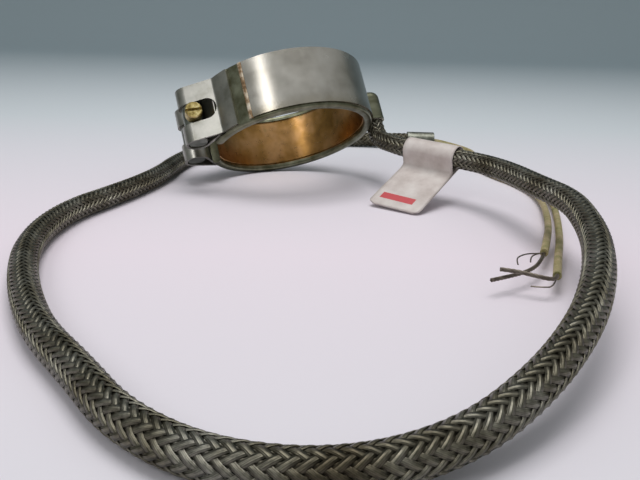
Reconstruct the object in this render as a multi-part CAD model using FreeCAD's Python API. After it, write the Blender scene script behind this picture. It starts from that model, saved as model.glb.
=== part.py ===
import FreeCAD, Part
import math
import os

# Barrel-nut clamped mica band heater with an overbraided lead, lying on a table.
# The band is drawn in its own frame, bore along Z and split on -X, then laid down.
# Millimetres and degrees.

Vector = FreeCAD.Vector
Rotation = FreeCAD.Rotation
Placement = FreeCAD.Placement

# ---- heater body ----
bore_diameter = 63.5
body_width = 25.4
sheath_gauge = 0.5
mica_gauge = 0.5
core_gauge = 0.6
ribbon_gauge = 0.15
ribbon_width = 3.0
ribbon_pitch_angle = 11.5       # between two turns of the heating ribbon
core_margin = 0.6               # mica edge beyond the winding
layer_gap = 0.05                # between neighbouring wraps
lip_height = 2.0                # outer sheath turned in over the inner one
lip_clearance = 0.8             # between a lip and the inner sheath's raised wall
rim_radius = 1.0
rim_flats = 3                   # short flats that follow each bent edge
split_half_angle = 18.0
end_cap_angle = 0.8
core_end_angle = 1.5            # inner wraps stop this far inside the body's ends

# ---- outer band and its welds ----
cover_gauge = 0.8
cover_inset_front = 1.5         # outer band's edges in from the body's rims
cover_inset_back = 0.8
cover_end_angle = 56.0         # from the split to each end of the outer band
bead_width = 1.7
bead_height = 1.0

# ---- barrel clamp ----
lug_gauge = 1.0
barrel_diameter = 8.0
barrel_end_gap = 0.4            # barrel shorter than the lug at each end
barrel_clearance = 0.1          # loop to barrel
barrel_chamfer = 0.4
barrel_standoff = 0.98          # back of the fold above the body
barrel_half_spacing = 9.6
tail_end_angle = 44.5           # lug tail, bend and returned end, each from the split
kink_angle = 32.5
return_end_angle = 28.0
kink_bend_radius = 2.0
slot_clearance = 0.8            # screw head to slot, each side
screw_diameter = 4.2
screw_head_diameter = 6.8
screw_head_height = 5.0
screw_tip_beyond = 3.0          # past the threaded barrel
shank_clearance = 0.2           # plain barrel's hole
thread_clearance = 0.03         # running fit in the threaded barrel
seat_depth = 0.8                # flat cut for the head into the plain barrel
seat_gap = 0.05
driver_slot_width = 1.2
driver_slot_depth = 1.6
head_edge = 0.4
tip_chamfer = 0.5

# ---- terminal cover at the lead exit ----
cap_angle = 6.0
cap_gauge = 0.6
cap_bottom = 5.0                # above the body's lower rim
cap_height = 13.5
cap_crown_radius = 3.2
cap_inner_share = 0.78          # bevel inside the crown, of its rounding
cap_flange = 3.2
bush_length = 4.0
bush_wall = 1.3
tail_beyond_bush = 0.6
fit_clearance = 0.05
cap_inner_clearance = 0.1       # braid bush to cap
window_half_width = 3.6
window_height = 4.0
tab_gauge = 0.5
tab_width = 2.2
crimp_radius = 1.3
crimp_length = 4.2
terminal_spacing = 2.9

# ---- lead, label and end fittings ----
braid_diameter = 8.0
exit_straight = 5.5             # braid's straight run out of the cap
ferrule_wall = 0.6
ferrule_clearance = 0.08
ferrule_length = 15.0
braid_in_ferrule = 8.0
ferrule_approach = 4.0          # straight braid ahead of the ferrule
lead_diameter = 2.4
lead_spacing = 2.8
bundle_diameter = 1.2           # bare wires twisted together
bundle_rise = 0.2               # off the middle of the lead's end
label_width = 22.4
label_flap = 32.4               # from the sleeve to the free edge
label_gauge = 0.25
label_clearance = 0.7
label_corner = 2.5

# ---- how the band and the lead's end lie on the table ----
band_x = 5.4
band_y = -6.1
lean_angle = 32.4
lean_heading = 119.0
band_spin = -103.4
ferrule_x = 66.0
ferrule_y = 92.8

# Wrap radii, from the bore outwards.
bore_radius = bore_diameter / 2
inner_mica_radius = bore_radius + sheath_gauge + layer_gap
inner_mica_outer = inner_mica_radius + mica_gauge
ribbon_sag = inner_mica_outer * (1 / math.cos(math.radians(ribbon_pitch_angle / 2)) - 1)
ribbon_in_radius = inner_mica_outer + ribbon_sag + layer_gap
core_radius = ribbon_in_radius + ribbon_gauge + layer_gap
ribbon_out_radius = core_radius + core_gauge + layer_gap
outer_mica_radius = ribbon_out_radius + ribbon_gauge + layer_gap
outer_sheath_radius = outer_mica_radius + mica_gauge + layer_gap
body_outer_radius = outer_sheath_radius + sheath_gauge
cover_radius = body_outer_radius + layer_gap
cover_outer_radius = cover_radius + cover_gauge
joggle_radius = bore_radius + sheath_gauge + layer_gap

wrap_bottom = lip_height + lip_clearance + 2 * layer_gap
wrap_top = body_width - wrap_bottom
cover_bottom = cover_inset_front
cover_top = body_width - cover_inset_back
strap_width = cover_top - cover_bottom
mid_height = (cover_bottom + cover_top) / 2

lean_radians = math.radians(lean_angle)
band_z = ((body_outer_radius - rim_radius) * math.sin(lean_radians)
          + rim_radius * (1 - math.cos(lean_radians)))
lying = Placement(
    Vector(band_x, band_y, band_z),
    Rotation(Vector(0, 0, 1), lean_heading)
    * Rotation(Vector(0, 1, 0), lean_angle)
    * Rotation(Vector(0, 0, 1), band_spin))


# ---- drawing helpers ----
def polar(radius, angle):
    radians = math.radians(angle)
    return Vector(radius * math.cos(radians), radius * math.sin(radians), 0)


def rounded_wire(corners, to_space):
    """Closed wire through (a, b, radius) corners, each rounded by its radius."""
    edges = []
    last = None
    first = None
    for index in range(len(corners)):
        before = Vector(*corners[index - 1][:2], 0)
        here = Vector(*corners[index][:2], 0)
        after = Vector(*corners[(index + 1) % len(corners)][:2], 0)
        radius = corners[index][2]
        back = (before - here).normalize()
        ahead = (after - here).normalize()
        half = back.getAngle(ahead) / 2
        start = end = here
        if radius > 0:
            reach = radius / math.tan(half)
            start = here + back * reach
            end = here + ahead * reach
            middle = here + (back + ahead).normalize() * (radius / math.sin(half) - radius)
        if last is None:
            first = start
        elif last.distanceToPoint(start) > 1e-6:
            edges.append(Part.LineSegment(to_space(last), to_space(start)).toShape())
        if radius > 0:
            edges.append(Part.Arc(to_space(start), to_space(middle), to_space(end)).toShape())
        last = end
    edges.append(Part.LineSegment(to_space(last), to_space(first)).toShape())
    return Part.Wire(edges)


def revolved(corners, start_angle, end_angle):
    """Solid swept about Z from a radius-height outline, between two angles."""
    wire = rounded_wire(corners, lambda p: Vector(p.x, 0, p.y))
    solid = Part.Face(wire).revolve(Vector(), Vector(0, 0, 1), end_angle - start_angle)
    solid.rotate(Vector(), Vector(0, 0, 1), start_angle)
    return solid


def wrap(radius, gauge, bottom, top, half_angle):
    """A curved strip centred on +X, reaching half_angle each way."""
    corners = [(radius, bottom, 0), (radius + gauge, bottom, 0),
               (radius + gauge, top, 0), (radius, top, 0)]
    return revolved(corners, -half_angle, half_angle)


def box(low, high):
    size = high - low
    return Part.makeBox(size.x, size.y, size.z, low)


def mirrored(shape):
    return shape.mirror(Vector(), Vector(0, 1, 0))


def round_edges(shape):
    return [edge for edge in shape.Edges if edge.Curve.TypeId == "Part::GeomCircle"]


def laid(shape):
    copy = shape.copy()
    copy.Placement = lying.multiply(copy.Placement)
    return copy


# ---- heater body ----
body_half_angle = 180.0 - split_half_angle
inner_half_angle = body_half_angle - core_end_angle


def make_inner_sheath():
    """Bore wall, stepped outwards at both edges to pass behind the outer sheath's lips."""
    wall = bore_radius + sheath_gauge
    step = joggle_radius + sheath_gauge
    low = rim_radius + layer_gap
    turn = lip_height + lip_clearance / 2
    raised = lip_height + lip_clearance
    corners = [
        (joggle_radius, low, 0), (step, low, 0), (step, raised, 0), (wall, raised + layer_gap, 0),
        (wall, body_width - raised - layer_gap, 0), (step, body_width - raised, 0),
        (step, body_width - low, 0), (joggle_radius, body_width - low, 0),
        (joggle_radius, body_width - turn, 0), (bore_radius, body_width - raised, 0),
        (bore_radius, raised, 0), (joggle_radius, turn, 0)]
    return revolved(corners, -inner_half_angle, inner_half_angle)


def rolled_rim(radius, height, start_angle):
    """Outline points round one bent edge, its corner at the given radius and height."""
    middle = Vector(radius, height, 0)
    middle.x += rim_radius if start_angle in (90, 180) else -rim_radius
    middle.y += rim_radius if start_angle in (180, 270) else -rim_radius
    turns = [start_angle + 90.0 * step / rim_flats for step in range(rim_flats + 1)]
    points = [middle + polar(rim_radius, turn) for turn in turns]
    return [(point.x, point.y, 0) for point in points]


def make_outer_sheath():
    """Outer wall, both rolled rims with their lips, and the closed ends at the split."""
    top = body_width
    lip = bore_radius + sheath_gauge
    wall = outer_sheath_radius
    outside = rolled_rim(bore_radius, 0, 180) + rolled_rim(body_outer_radius, 0, 270)
    outside += rolled_rim(body_outer_radius, top, 0) + rolled_rim(bore_radius, top, 90)
    channel = outside + [
        (bore_radius, top - lip_height, 0), (lip, top - lip_height, 0),
        (lip, top - sheath_gauge, 0), (wall, top - sheath_gauge, 0),
        (wall, sheath_gauge, 0), (lip, sheath_gauge, 0),
        (lip, lip_height, 0), (bore_radius, lip_height, 0)]
    sheath = revolved(channel, -body_half_angle, body_half_angle)
    closed = body_half_angle - end_cap_angle
    ends = [revolved(outside, closed, body_half_angle), revolved(outside, -body_half_angle, -closed)]
    return sheath.fuse(ends).removeSplitter().cut(cap_window())


def cap_window():
    """The opening under the terminal cap, through every wrap outside the ribbon."""
    half = window_height / 2
    low = Vector(outer_mica_radius - layer_gap, -window_half_width, tab_height() - half)
    high = Vector(cover_outer_radius + cap_gauge, window_half_width, tab_height() + half)
    opening = box(low, high)
    opening.rotate(Vector(), Vector(0, 0, 1), cap_angle)
    return opening


def make_ribbon():
    """Flat wire wound round the mica core: upright outside legs, slanted inside legs."""
    low = wrap_bottom + core_margin
    high = body_width - low
    halves = []
    for side in (1, -1):
        first = cap_angle * side + terminal_angle()
        turns = int((inner_half_angle - first - ribbon_pitch_angle) / ribbon_pitch_angle)
        pieces = []
        for turn in range(turns):
            angle = first + turn * ribbon_pitch_angle
            pieces.append(ribbon_leg(ribbon_out_radius, angle, angle, low, high))
            if turn + 1 < turns:
                following = angle + ribbon_pitch_angle
                pieces.append(ribbon_leg(ribbon_in_radius, angle, following, low, high))
                pieces.append(ribbon_bridge(following, low - ribbon_gauge))
                pieces.append(ribbon_bridge(angle, high))
        half = pieces[0].fuse(pieces[1:])
        if side < 0:
            half = mirrored(half)
        halves.append(half)
    return Part.makeCompound(halves)


def ribbon_leg(radius, top_angle, bottom_angle, low, high):
    corners = []
    foot = low - ribbon_gauge
    head = high + ribbon_gauge
    for angle, height, sign in ((bottom_angle, foot, -1), (bottom_angle, foot, 1),
                                (top_angle, head, 1), (top_angle, head, -1)):
        across = polar(1, angle + 90) * (sign * ribbon_width / 2)
        corners.append(polar(radius, angle) + across + Vector(0, 0, height))
    middle = polar(ribbon_gauge, (top_angle + bottom_angle) / 2)
    if top_angle == bottom_angle:
        return Part.Face(Part.makePolygon(corners + corners[:1])).extrude(middle)
    outer = [corner + middle for corner in corners]
    return Part.Solid(Part.Shell(twisted_box(corners, outer)))


def twisted_box(inner, outer):
    faces = []
    for index in range(4):
        after = (index + 1) % 4
        quad = [inner[index], inner[after], outer[after], outer[index]]
        faces += triangle_pair(quad)
    faces += triangle_pair(inner)
    faces += triangle_pair(outer)
    return faces


def triangle_pair(quad):
    pair = []
    for trio in ((quad[0], quad[1], quad[2]), (quad[0], quad[2], quad[3])):
        pair.append(Part.Face(Part.makePolygon(list(trio) + [trio[0]])))
    return pair


def ribbon_bridge(angle, height):
    bridge = box(Vector(ribbon_in_radius, -ribbon_width / 2, height),
                 Vector(ribbon_out_radius + ribbon_gauge, ribbon_width / 2, height + ribbon_gauge))
    bridge.rotate(Vector(), Vector(0, 0, 1), angle)
    return bridge


def terminal_angle():
    return math.degrees(terminal_spacing / 2 / ribbon_out_radius)


def make_core():
    low = wrap_bottom + core_margin + layer_gap
    return wrap(core_radius, core_gauge, low, body_width - low, inner_half_angle)


def make_cover_band():
    band = wrap(cover_radius, cover_gauge, cover_bottom, cover_top, 180.0 - cover_end_angle)
    return band.cut(cap_window())


def make_bead():
    """Braze run along one end of the outer band, proud of it and crowned."""
    end = 180.0 - cover_end_angle
    width_angle = math.degrees(bead_width / cover_radius)
    corners = [(cover_radius, cover_bottom, 0), (cover_radius + bead_height, cover_bottom, 0),
               (cover_radius + bead_height, cover_top, 0), (cover_radius, cover_top, 0)]
    bead = revolved(corners, end, end + width_angle)
    proud = bead_height * 0.45
    long_edges = [edge for edge in bead.Edges
                  if abs(edge.BoundBox.ZLength - strap_width) < 1e-6
                  and math.hypot(edge.CenterOfMass.x, edge.CenterOfMass.y) > cover_radius + proud]
    return bead.makeFillet(proud, long_edges)


# ---- barrel clamp ----
# In the clamp's own plane u runs outwards through the split and v towards the front lug.
barrel_radius = barrel_diameter / 2
barrel_reach = body_outer_radius + barrel_standoff + lug_gauge + barrel_clearance + barrel_radius
barrel_u = math.sqrt(barrel_reach ** 2 - barrel_half_spacing ** 2)
barrel_centre = Vector(barrel_u, barrel_half_spacing, 0)
loop_radius = barrel_radius + barrel_clearance + lug_gauge / 2
strap_radius = cover_radius + lug_gauge / 2


def angle_of(vector):
    return math.degrees(math.atan2(vector.y, vector.x))


def crossing_tangent(centre_a, radius_a, centre_b, radius_b, side):
    """Direction from centre_a to where the line that crosses between two circles touches it."""
    between = centre_b - centre_a
    spread = math.degrees(math.acos((radius_a + radius_b) / between.Length))
    return angle_of(between) + side * spread


def kink_centre():
    """Bend centre that joins the tail, on the band, to the straight leg of the loop."""
    reach = strap_radius + kink_bend_radius
    return polar(reach, kink_angle)


def lug_stations():
    """Circles that the lug's middle line follows: centre, radius, turn, start and end direction."""
    bend = kink_centre()
    leave_bend = crossing_tangent(bend, kink_bend_radius, barrel_centre, loop_radius, -1)
    reach_loop = leave_bend + 180.0
    leave_loop = crossing_tangent(barrel_centre, loop_radius, Vector(), strap_radius, 1)
    reach_band = leave_loop + 180.0
    return [
        (Vector(), strap_radius, 1, tail_end_angle, kink_angle),
        (bend, kink_bend_radius, -1, kink_angle + 180.0, leave_bend),
        (barrel_centre, loop_radius, 1, reach_loop, leave_loop),
        (Vector(), strap_radius, -1, reach_band, return_end_angle)]


def swing(start, end, turn):
    """End direction written so that it is reached from start by turning the given way."""
    while turn > 0 and end > start:
        end -= 360.0
    while turn < 0 and end < start:
        end += 360.0
    while abs(end - start) > 360.0:
        end += 360.0 * turn
    return end


def to_band(point):
    return Vector(-point.x, -point.y, point.z)


def lug_side(stations, side):
    """Edges of one face of the bent strap; side is 1 on its left and -1 on its right."""
    edges = []
    last = None
    for centre, radius, turn, start, end in stations:
        end = swing(start, end, turn)
        reach = radius + side * turn * lug_gauge / 2
        points = [centre + polar(reach, angle) for angle in (start, (start + end) / 2, end)]
        if last is not None and last.distanceToPoint(points[0]) > 1e-4:
            edges.append(Part.LineSegment(to_band(last), to_band(points[0])).toShape())
        edges.append(Part.Arc(*[to_band(point) for point in points]).toShape())
        last = points[2]
    return edges


def make_lug():
    """Strap welded to the sheath, folded round its barrel and slotted for the screw."""
    stations = lug_stations()
    left = lug_side(stations, 1)
    right = lug_side(stations, -1)
    ends = []
    for index in (0, -1):
        centre, radius, turn, start, end = stations[index]
        angle = start if index == 0 else end
        ends.append(Part.LineSegment(to_band(polar(radius - lug_gauge / 2, angle)),
                                     to_band(polar(radius + lug_gauge / 2, angle))).toShape())
    wire = Part.Wire(Part.sortEdges(left + right + ends)[0])
    strap = Part.Face(wire).extrude(Vector(0, 0, strap_width))
    strap.translate(Vector(0, 0, cover_bottom))
    return strap.cut(lug_slot(stations)).removeSplitter()


def lug_slot(stations):
    """Round-ended slot along the straight leg that runs on round the fold."""
    half = screw_head_diameter / 2 + slot_clearance
    bend, bend_radius, turn, start, leave = stations[1]
    normal = polar(1, leave + 180.0)
    along = polar(1, leave - 90.0)
    if along.x < 0:
        along = along * -1
    foot = bend + polar(bend_radius, leave)
    depth = lug_gauge * 1.1
    begin = to_band(foot + along * half - normal * depth + Vector(0, 0, mid_height))
    direction = to_band(normal)
    round_end = Part.makeCylinder(half, depth * 2, begin, direction)
    run = barrel_centre.x - foot.x
    corners = [begin + Vector(0, 0, -half), begin + Vector(0, 0, half),
               begin + Vector(0, 0, half) + to_band(along) * run,
               begin + Vector(0, 0, -half) + to_band(along) * run]
    straight = Part.Face(Part.makePolygon(corners + corners[:1])).extrude(direction * (depth * 2))
    inner_u = barrel_centre.x - screw_diameter / 2 - barrel_clearance * 5
    outer_u = barrel_centre.x + loop_radius + lug_gauge
    around = box(Vector(-outer_u, -barrel_centre.y - loop_radius - lug_gauge, mid_height - half),
                 Vector(-inner_u, 0, mid_height + half))
    return round_end.fuse([straight, around])


def make_barrel(side, hole_radius):
    """Cross pin held in a lug's fold, drilled through its middle for the screw."""
    length = strap_width - 2 * barrel_end_gap
    foot = Vector(-barrel_centre.x, -side * barrel_centre.y, cover_bottom + barrel_end_gap)
    pin = Part.makeCylinder(barrel_radius, length, foot, Vector(0, 0, 1))
    pin = pin.makeChamfer(barrel_chamfer, round_edges(pin))
    hole = Part.makeCylinder(hole_radius, barrel_diameter * 1.5,
                             Vector(foot.x, foot.y - barrel_diameter * 0.75, mid_height), Vector(0, 1, 0))
    return pin.cut(hole)


def make_plain_barrel():
    pin = make_barrel(1, screw_diameter / 2 + shank_clearance)
    seat_y = -barrel_centre.y - barrel_radius + seat_depth
    seat = Part.makeCylinder(screw_head_diameter / 2 + slot_clearance / 2, seat_depth * 2,
                             Vector(-barrel_centre.x, seat_y, mid_height), Vector(0, -1, 0))
    return pin.cut(seat)


def make_screw():
    """Slotted cheese-head screw through both barrels, head to the front."""
    seat_y = -barrel_centre.y - barrel_radius + seat_depth - seat_gap
    tip_y = barrel_centre.y + barrel_radius + screw_tip_beyond
    axis = Vector(-barrel_centre.x, 0, mid_height)
    seat = axis + Vector(0, seat_y, 0)
    shank = Part.makeCylinder(screw_diameter / 2, tip_y - seat_y, seat, Vector(0, 1, 0))
    tip = [edge for edge in round_edges(shank) if edge.BoundBox.YMin > tip_y - 0.1]
    shank = shank.makeChamfer(tip_chamfer, tip)
    head = Part.makeCylinder(screw_head_diameter / 2, screw_head_height, seat, Vector(0, -1, 0))
    face_y = seat_y - screw_head_height
    rim = [edge for edge in round_edges(head) if edge.BoundBox.YMax < face_y + 0.1]
    head = head.makeChamfer(head_edge, rim)
    half_slot = driver_slot_width / 2
    groove = box(axis + Vector(-screw_head_diameter, face_y - 1, -half_slot),
                 axis + Vector(screw_head_diameter, face_y + driver_slot_depth, half_slot))
    return head.cut(groove).fuse(shank).removeSplitter()


# ---- terminal cap and what is under it ----
exit_radius = cover_outer_radius + layer_gap + fit_clearance + cap_inner_clearance + braid_diameter / 2
bush_radius = braid_diameter / 2 + fit_clearance
cap_inner_radius = bush_radius + cap_inner_clearance
cap_top = cap_bottom + cap_height
cap_seat_radius = cover_outer_radius + layer_gap


def tab_height():
    under = cap_bottom + bush_length + tail_beyond_bush + crimp_length
    return under + 4 * fit_clearance + tab_gauge / 2


def arch(half_width, bottom, top):
    """Tunnel-shaped block standing off the band, with the edges round its upper end."""
    low = Vector(0, -half_width, bottom)
    block = box(low, Vector(exit_radius, half_width, top))
    nose = Part.makeCylinder(half_width, top - bottom, Vector(exit_radius, 0, bottom), Vector(0, 0, 1))
    solid = block.fuse(nose).removeSplitter()
    over = [edge for edge in solid.Edges
            if edge.BoundBox.ZMin > top - 1e-6 and edge.BoundBox.XMax > 1e-3]
    return solid, over


def make_terminal_cap():
    """Pressed cap with side flanges spot welded to the band; its mouth faces down the band."""
    shell, crown = arch(cap_inner_radius + cap_gauge, cap_bottom, cap_top)
    shell = shell.makeFillet(cap_crown_radius, crown)
    inside, crown = arch(cap_inner_radius, cap_bottom - cap_gauge, cap_top - cap_gauge)
    inside = inside.makeChamfer((cap_crown_radius - cap_gauge) * cap_inner_share, crown)
    flange_angle = math.degrees((cap_inner_radius + cap_gauge + cap_flange) / cap_seat_radius)
    corner = cap_gauge
    flange = wrap(cap_seat_radius, cap_gauge, cap_bottom, cap_top + corner, flange_angle)
    seat = Part.makeCylinder(cap_seat_radius, body_width, Vector(), Vector(0, 0, 1))
    cap = shell.fuse(flange).cut(inside).cut(seat).removeSplitter()
    cap.rotate(Vector(), Vector(0, 0, 1), cap_angle)
    return cap


def turned_to_cap(shape):
    shape.rotate(Vector(), Vector(0, 0, 1), cap_angle)
    return shape


def make_exit_bush():
    foot = Vector(exit_radius, 0, cap_bottom)
    outer = Part.makeCylinder(bush_radius, bush_length, foot, Vector(0, 0, 1))
    inner = Part.makeCylinder(bush_radius - bush_wall, bush_length, foot, Vector(0, 0, 1))
    return turned_to_cap(outer.cut(inner))


def make_lead_tail(side):
    foot = Vector(exit_radius, side * terminal_spacing / 2, cap_bottom + fit_clearance)
    length = bush_length + tail_beyond_bush
    return turned_to_cap(Part.makeCylinder(lead_diameter / 2, length, foot, Vector(0, 0, 1)))


def make_crimp(side):
    height = cap_bottom + bush_length + tail_beyond_bush + 2 * fit_clearance
    foot = Vector(exit_radius, side * terminal_spacing / 2, height)
    barrel = Part.makeCylinder(crimp_radius, crimp_length, foot, Vector(0, 0, 1))
    return turned_to_cap(barrel.makeChamfer(crimp_radius / 4, round_edges(barrel)))


def make_tab(side):
    middle = side * terminal_spacing / 2
    inner = ribbon_out_radius + ribbon_gauge + layer_gap
    low = Vector(inner, middle - tab_width / 2, tab_height() - tab_gauge / 2)
    high = Vector(exit_radius + crimp_radius, middle + tab_width / 2, tab_height() + tab_gauge / 2)
    return turned_to_cap(box(low, high))


def make_terminal_pad():
    """Mica piece that keeps the tabs clear of the band where they come through it."""
    half = cap_inner_radius - cap_inner_clearance
    pad = wrap(cap_seat_radius, mica_gauge, cap_bottom + bush_length + 2 * fit_clearance,
               cap_top - cap_crown_radius, math.degrees(half / cap_seat_radius))
    for side in (1, -1):
        middle = side * terminal_spacing / 2
        across = tab_width / 2 + layer_gap
        above = tab_gauge / 2 + layer_gap
        pad = pad.cut(box(Vector(cover_radius, middle - across, tab_height() - above),
                          Vector(exit_radius, middle + across, tab_height() + above)))
    return turned_to_cap(pad)


# ---- cords ----
def cord_tube(points, diameter, label):
    """Round tube along straight runs joined by arcs as large as the runs allow."""
    points = [Vector(*point) for point in points]
    edges = []
    last = points[0]
    length = 0.0
    radii = []
    for index in range(1, len(points) - 1):
        here = points[index]
        back = points[index - 1] - here
        ahead = points[index + 1] - here
        reach = 0.45 * min(back.Length, ahead.Length)
        turn = math.pi - back.getAngle(ahead)
        radius = reach / math.tan(turn / 2)
        back.normalize()
        ahead.normalize()
        start = here + back * reach
        end = here + ahead * reach
        middle = here + (back + ahead).normalize() * (radius / math.cos(turn / 2) - radius)
        edges.append(Part.LineSegment(last, start).toShape())
        edges.append(Part.Arc(start, middle, end).toShape())
        length += last.distanceToPoint(start) + radius * turn
        last = end
        radii.append(radius)
    edges.append(Part.LineSegment(last, points[-1]).toShape())
    length += last.distanceToPoint(points[-1])
    path = Part.Wire(edges)
    ring = Part.Wire(Part.makeCircle(diameter / 2, points[0], points[1] - points[0]))
    tube = path.makePipeShell([ring], True, False)
    expected = math.pi * diameter ** 2 / 4 * length
    print(label, "length", round(length, 1), "volume ratio", round(tube.Volume / expected, 4),
          "radii", [round(radius, 1) for radius in radii])
    return tube


braid_radius = braid_diameter / 2
exit_point = lying.multVec(polar(exit_radius, cap_angle) + Vector(0, 0, cap_bottom))
exit_direction = lying.Rotation.multVec(Vector(0, 0, -1))
exit_run = exit_point + exit_direction * exit_straight
ferrule_radius = braid_radius + ferrule_clearance + ferrule_wall
ferrule_start = Vector(ferrule_x, ferrule_y, ferrule_radius)
ferrule_mouth = ferrule_start + Vector(ferrule_length, 0, 0)
braid_end = ferrule_start + Vector(braid_in_ferrule, 0, 0)

# x, y and the height of the braid's underside above the table
braid_route = [
    (44.15, 4.85, 14.55),
    (46.4, -5.0, 15.3),
    (52.8, -16.7, 14.9),
    (72.7, -31.8, 13.8),
    (80.9, -43.0, 14.0),
    (86.2, -58.8, 14.2),
    (89.0, -79.2, 14.6),
    (93.2, -99.4, 14.9),
    (91.3, -119.9, 13.9),
    (86.7, -140.0, 12.9),
    (79.7, -159.3, 11.0),
    (70.4, -177.5, 8.6),
    (58.1, -193.7, 5.3),
    (42.8, -207.1, 1.7),
    (23.4, -214.6, 0.2),
    (2.8, -212.5, 0.0),
    (-14.5, -201.0, 0.0),
    (-27.1, -184.2, 0.0),
    (-40.5, -168.1, 0.0),
    (-50.9, -150.0, 0.0),
    (-59.5, -130.9, 0.0),
    (-66.0, -111.1, 0.0),
    (-68.7, -90.3, 0.0),
    (-67.1, -69.5, 0.0),
    (-59.9, -49.9, 0.0),
    (-53.8, -29.9, 0.0),
    (-50.0, -9.4, 0.0),
    (-48.9, 11.5, 0.0),
    (-45.5, 32.0, 0.0),
    (-40.1, 52.1, 0.0),
    (-29.5, 69.9, 0.0),
    (-14.6, 84.0, 0.0),
    (3.7, 93.4, 0.0),
    (24.2, 94.5, 0.0),
    (44.6, 95.5, 0.1),
    (55.2, 93.5, 0.4)]


def make_braid():
    route = [tuple(exit_point), tuple(exit_run)]
    route += [(x, y, z + braid_radius) for x, y, z in braid_route]
    approach = ferrule_start - Vector(ferrule_approach, 0, 0)
    route += [tuple(approach), tuple(braid_end)]
    return cord_tube(route, braid_diameter, "lead_braid")


def make_ferrule():
    outer = Part.makeCylinder(ferrule_radius, ferrule_length, ferrule_start, Vector(1, 0, 0))
    outer = outer.makeChamfer(ferrule_wall / 3, round_edges(outer))
    return outer.cut(Part.makeCylinder(braid_radius + ferrule_clearance, ferrule_length,
                                       ferrule_start, Vector(1, 0, 0)))


# x, y and the height of the lead's underside above the table
lead_a_route = [
    (87.6, 90.8, 1.8),
    (93.5, 88.1, 0.4),
    (97.2, 81.5, 0.0),
    (97.6, 71.1, 0.0),
    (94.5, 53.9, 0.0),
    (92.8, 36.9, 0.0),
    (97.8, 18.4, 0.0),
    (104.2, 1.5, 0.1),
    (107.2, -17.6, 0.7),
    (104.6, -40.1, 1.4),
    (96.7, -72.2, 2.3),
    (87.6, -98.7, 3.4),
    (84.2, -107.9, 3.8)]
lead_b_route = [
    (88.5, 93.7, 2.0),
    (95.6, 90.5, 0.6),
    (100.0, 83.4, 0.0),
    (100.6, 71.9, 0.0),
    (97.6, 54.9, 0.0),
    (96.2, 37.9, 0.0),
    (101.5, 19.9, 0.0),
    (107.8, 2.9, 0.2),
    (110.7, -17.1, 0.7),
    (109.2, -36.1, 1.0),
    (104.3, -57.1, 1.4),
    (95.3, -88.5, 2.0),
    (87.4, -111.0, 2.8),
    (81.9, -127.4, 3.8)]


def lead_points(route):
    return [Vector(x, y, z + lead_diameter / 2) for x, y, z in route]


def make_lead(side, route, label):
    start = braid_end + Vector(0, side * lead_spacing / 2, 0)
    mouth = ferrule_mouth + Vector(0, side * lead_spacing / 2, 0)
    return cord_tube([start, mouth] + lead_points(route), lead_diameter, label)


def make_strands(route, aside, points, label):
    """Bare wires twisted together, leaving a lead's cut end a little above or below its middle."""
    before, tip = lead_points(route)[-2:]
    forward = (tip - before).normalize()
    across = forward.cross(Vector(0, 0, 1)).normalize()
    start = tip + across.cross(forward) * aside
    straight = start + forward * (bundle_diameter * 2)
    return cord_tube([start, straight] + points, bundle_diameter, label)


# Middle line of each bundle, beyond its straight start.
strands_a_points = [
    (81.2, -114.7, 4.8), (78.6, -119.3, 4.6), (74.6, -123.4, 4.4),
    (69.4, -127.0, 4.4), (63.6, -130.9, 4.6)]
strands_b_points = [
    (79.3, -131.1, 5.3), (75.2, -130.2, 5.9), (70.9, -128.5, 6.4), (66.4, -127.7, 6.6)]


# ---- label folded round the braid ----
label_start = Vector(52.8, -16.7, 14.9 + braid_radius)
label_end = Vector(72.7, -31.8, 13.8 + braid_radius)
label_fall = Vector(-0.554, -0.729, -0.401)


def make_label():
    """Loop round the braid whose two plies lie together as a flap, tangent to its underside."""
    axis = (label_end - label_start).normalize()
    fall = (label_fall - axis * label_fall.dot(axis)).normalize()
    up = fall.cross(axis)
    if up.z < 0:
        up = up * -1
    start = (label_start + label_end) / 2 - axis * label_width / 2
    inner = braid_radius + label_clearance
    outer = inner + label_gauge
    corners = [start - up * outer, start - up * outer + fall * label_flap,
               start - up * (inner - label_gauge) + fall * label_flap,
               start - up * (inner - label_gauge)]
    flap = Part.Face(Part.makePolygon(corners + corners[:1])).extrude(axis * label_width)
    ends = [edge for edge in flap.Edges
            if edge.Length < 3 * label_gauge
            and (edge.CenterOfMass - start).dot(fall) > label_flap - 0.1]
    flap = flap.makeFillet(label_corner, ends)
    sleeve = Part.makeCylinder(outer, label_width, start, axis)
    hollow = Part.makeCylinder(inner, label_width, start, axis)
    return sleeve.fuse(flap).cut(hollow)


# ---- write every node ----
inner_mica = wrap(inner_mica_radius, mica_gauge, wrap_bottom, wrap_top, inner_half_angle)
outer_mica = wrap(outer_mica_radius, mica_gauge, wrap_bottom, wrap_top, inner_half_angle)
front_lug = make_lug()
front_bead = mirrored(make_bead())

band_nodes = {
    "inner_sheath": make_inner_sheath(),
    "inner_mica": inner_mica,
    "mica_core": make_core(),
    "resistance_ribbon": make_ribbon(),
    "outer_mica": outer_mica.cut(cap_window()),
    "outer_sheath": make_outer_sheath(),
    "cover_band": make_cover_band(),
    "front_weld_bead": front_bead,
    "rear_weld_bead": make_bead(),
    "front_lug": front_lug,
    "rear_lug": mirrored(front_lug),
    "plain_barrel": make_plain_barrel(),
    "threaded_barrel": make_barrel(-1, screw_diameter / 2 + thread_clearance),
    "clamp_screw": make_screw(),
    "terminal_cap": make_terminal_cap(),
    "terminal_pad": make_terminal_pad(),
    "terminal_tab_a": make_tab(-1),
    "terminal_tab_b": make_tab(1),
    "terminal_crimp_a": make_crimp(-1),
    "terminal_crimp_b": make_crimp(1),
    "lead_tail_a": make_lead_tail(-1),
    "lead_tail_b": make_lead_tail(1),
    "exit_bush": make_exit_bush()}

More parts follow.
